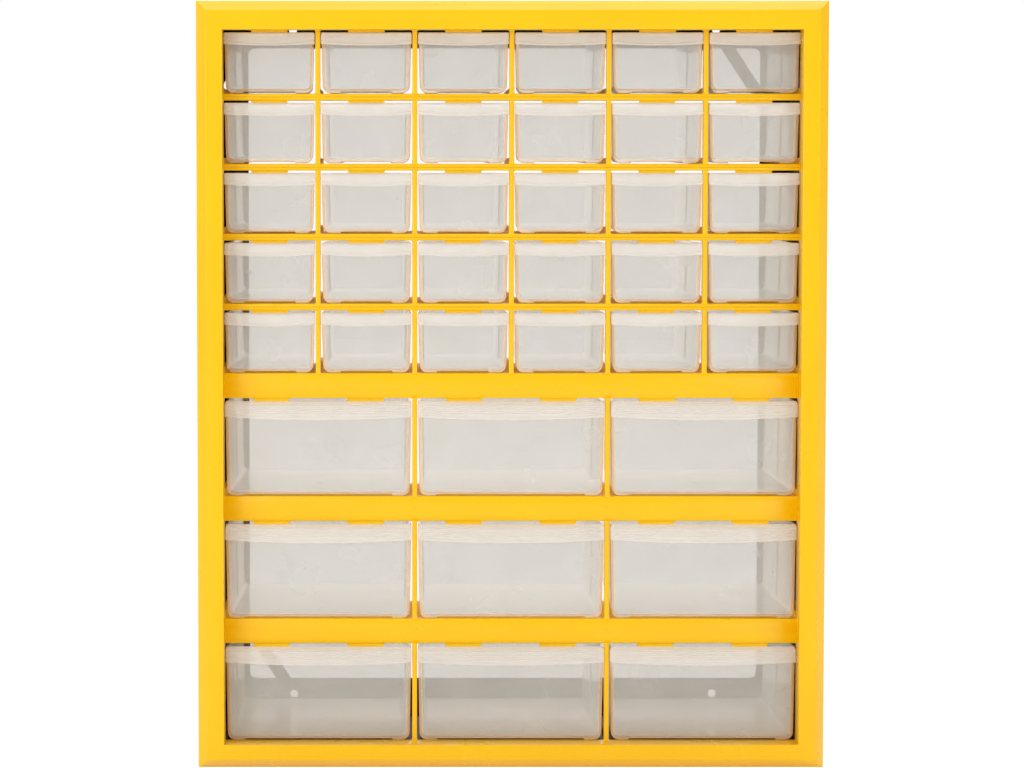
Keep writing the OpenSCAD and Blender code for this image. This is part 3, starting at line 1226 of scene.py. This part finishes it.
@dataclass(frozen=True)
class Cabinet:
    """The whole object: which nodes it has, and their finishes.

    Attributes:
        shelves: Number of yellow shelves.
        small_grid: Rows and columns of small drawers.
        large_grid: Rows and columns of large drawers.
        marks: X and Z of the gate marks on the bars.
    """

    shelves: int = 7
    small_grid: tuple[int, int] = (5, 6)
    large_grid: tuple[int, int] = (3, 3)
    marks: tuple[tuple[float, float], ...] = (
        (55.7, 152.2), (-55.7, 152.2), (-55.7, 80.4), (55.7, 80.4)
    )

    def frame(self, material: Material) -> None:
        """Builds the front frame: rails, bars, posts and gate marks."""
        yellow = Slot.YELLOW
        Moulding("bezel", yellow, edge_mm=0.35, segments=3).build(material)
        Bars("thin_bars", yellow, edge_mm=0.25).build(material)
        Bars("thick_bars", yellow, edge_mm=0.25, crown_mm=0.45).build(material)
        Posts("small_posts", yellow, edge_mm=0.2).build(material)
        Posts("large_posts", yellow, edge_mm=0.2).build(material)
        GateMarks(self.marks).build(material)

    def shelf_pieces(self, material: Material) -> None:
        """Builds the shelves of the front frame."""
        for row in range(1, self.shelves + 1):
            Shelf(f"shelf_{row}", Slot.YELLOW, edge_mm=0.25).build(material)

    def housing(self, material: Material) -> None:
        """Builds the black housing with the floor shelf, back border and braces."""
        for node in (
            "floor_shelf",
            "housing_left",
            "housing_right",
            "housing_top",
            "housing_base",
            "back_frame",
            "back_braces",
        ):
            Moulding(node, Slot.BLACK).build(material)

    def drawers(self, materials: list[Material]) -> None:
        """Builds one drawer of each kind and puts copies in all the cells."""
        for kind, (rows, cols) in (
            (SMALL_DRAWER, self.small_grid),
            (LARGE_DRAWER, self.large_grid),
        ):
            mesh = kind.build(materials)
            for row in range(1, rows + 1):
                for col in range(1, cols + 1):
                    kind.place(mesh, f"{kind.name}_r{row}c{col}")
            bpy.data.meshes.remove(mesh)


# ---- floor, light and camera -----------------------------


@dataclass(frozen=True)
class SoftLamp:
    """A large soft studio lamp.

    Attributes:
        name: Name of the lamp.
        place: Where it stands, in metres.
        size: Its side, in metres.
        power: Its power in watts.
    """

    name: str
    place: tuple[float, float, float]
    size: float
    power: float

    def build(self, aim: Vector) -> None:
        """Adds the lamp, turned towards a point."""
        data = bpy.data.lights.new(self.name, "AREA")
        data.shape = "SQUARE"
        data.size = self.size
        data.energy = self.power
        lamp = bpy.data.objects.new(self.name, data)
        lamp.location = self.place
        lamp.rotation_euler = (aim - Vector(self.place)).to_track_quat("-Z", "Y").to_euler()
        bpy.context.scene.collection.objects.link(lamp)


@dataclass(frozen=True)
class Studio:
    """A white studio: pale floor, white surroundings, soft lamps and the camera.

    Attributes:
        eye: Where the camera stands, in metres.
        pitch: How far it looks down, in degrees.
        lens, sensor: Focal length and width of the sensor, in millimetres.
        shift: Shift of the lens to the right and up.
        aim: What the lamps point at.
        ambient: Strength of the surroundings as a light, in front and behind, where the lit
            white backdrop is.
        gloss: The same for glossy rays.
        turn: Where the surroundings start and end to brighten, from 0, at the side, to 1, behind.
        floor_size: Side of the floor, in metres.
        floor_white: Brightness of the floor to look at.
        floor_share: How much of that covers the floor's own shading.
        lamps: The soft lamps.
    """

    eye: tuple[float, float, float] = (-0.06668, -2.0205, 0.37063)
    pitch: float = 3.795
    lens: float = 118.46
    sensor: float = 36.0
    shift: tuple[float, float] = (0.1125, -0.028)
    aim: tuple[float, float, float] = (0.0, 0.0, 0.22)
    ambient: tuple[float, float] = (0.66, 1.6)
    gloss: tuple[float, float] = (0.25, 1.4)
    turn: tuple[float, float] = (0.3, 0.7)
    floor_size: float = 8.0
    floor_white: float = 1.03
    floor_share: float = 0.92
    lamps: tuple[SoftLamp, ...] = (
        SoftLamp("key_lamp", (-1.6, -1.7, 0.5), 1.2, 13.5),
        SoftLamp("fill_lamp", (1.6, -1.7, 0.35), 1.2, 8.5),
        SoftLamp("front_lamp", (0.0, -1.2, 2.0), 1.2, 4.0),
        SoftLamp("top_lamp", (0.0, 0.25, 2.0), 1.4, 13.0),
    )

    def camera(self) -> None:
        """Adds the camera at the photograph's viewing angle."""
        data = bpy.data.cameras.new("camera")
        data.lens = self.lens
        data.sensor_width = self.sensor
        data.shift_x, data.shift_y = self.shift
        camera = bpy.data.objects.new("camera", data)
        camera.location = self.eye
        camera.rotation_euler = (math.radians(90 - self.pitch), 0, 0)
        bpy.context.scene.collection.objects.link(camera)
        bpy.context.scene.camera = camera

    def world(self) -> None:
        """Makes the surroundings: white to look at, dimmer in front than behind as a light."""
        world = bpy.data.worlds.new("studio")
        bpy.context.scene.world = world
        world.use_nodes = True
        tree = world.node_tree
        tree.nodes.clear()
        way = add_node(
            tree,
            "SeparateXYZ",
            links={0: add_node(tree, "TexCoord").outputs["Generated"]},
        )
        behind = add_node(
            tree,
            "MapRange",
            {"From Min": self.turn[0], "From Max": self.turn[1]},
            {"Value": way.outputs["Y"]},
        )
        ambient, gloss = (
            add_node(
                tree,
                "MapRange",
                {"To Min": front, "To Max": back},
                {"Value": behind.outputs[0]},
            )
            for front, back in (self.ambient, self.gloss)
        )
        light = add_node(
            tree,
            "MapRange",
            links={
                "Value": ray_is(tree, "Glossy"),
                "To Min": ambient.outputs[0],
                "To Max": gloss.outputs[0],
            },
        )
        strength = add_node(
            tree,
            "MapRange",
            {"To Max": 1.0},
            {"Value": ray_is(tree, "Camera", "Transmission"), "To Min": light.outputs[0]},
        )
        white = add_node(
            tree,
            "Background",
            {"Color": linear("#ffffff")},
            {"Strength": strength.outputs[0]},
        )
        add_node(tree, "OutputWorld", links={"Surface": white.outputs[0]})

    def floor(self) -> None:
        """Adds the pale floor, which is white to look at and keeps a faint shadow."""
        material, tree = new_tree("pale_floor")
        matt = add_node(
            tree, "BsdfPrincipled", {"Base Color": linear("#fdfdfd"), "Roughness": 0.9}
        )
        white = add_node(
            tree, "Emission", {"Color": linear("#ffffff"), "Strength": self.floor_white}
        )
        seen = ray_is(tree, "Camera", "Glossy", "Transmission")
        share = add_node(
            tree, "Math", {"operation": "MULTIPLY", 1: self.floor_share}, {0: seen}
        )
        mix = add_node(
            tree,
            "MixShader",
            links={0: share.outputs[0], 1: matt.outputs[0], 2: white.outputs[0]},
        )
        add_node(tree, "OutputMaterial", links={"Surface": mix.outputs[0]})
        bm = bmesh.new()
        bmesh.ops.create_grid(bm, x_segments=8, y_segments=8, size=self.floor_size / 2 / MM)
        mesh = finish_mesh(bm, "floor")
        mesh.materials.append(material)
        floor = bpy.data.objects.new("floor", mesh)
        bpy.context.scene.collection.objects.link(floor)

    def build(self) -> None:
        """Sets up the camera, the surroundings, the floor and the lamps."""
        self.camera()
        self.world()
        self.floor()
        for lamp in self.lamps:
            lamp.build(Vector(self.aim))
        bpy.context.scene.view_settings.view_transform = "Standard"


def main() -> None:
    """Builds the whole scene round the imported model."""
    logging.basicConfig(level=logging.INFO, format="%(message)s")
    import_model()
    Studio().build()
    yellow = GLOSS_YELLOW.material()
    dull_yellow = SATIN_YELLOW.material()
    black = SATIN_BLACK.material()
    milky = [finish.material() for finish in (MILKY_WALL, MILKY_EDGE_PAINTED_REFLECTION, MILKY_LIP)]
    cabinet = Cabinet()
    cabinet.frame(yellow)
    cabinet.shelf_pieces(dull_yellow)
    cabinet.housing(black)
    cabinet.drawers(milky)


if __name__ == "__main__":
    main()
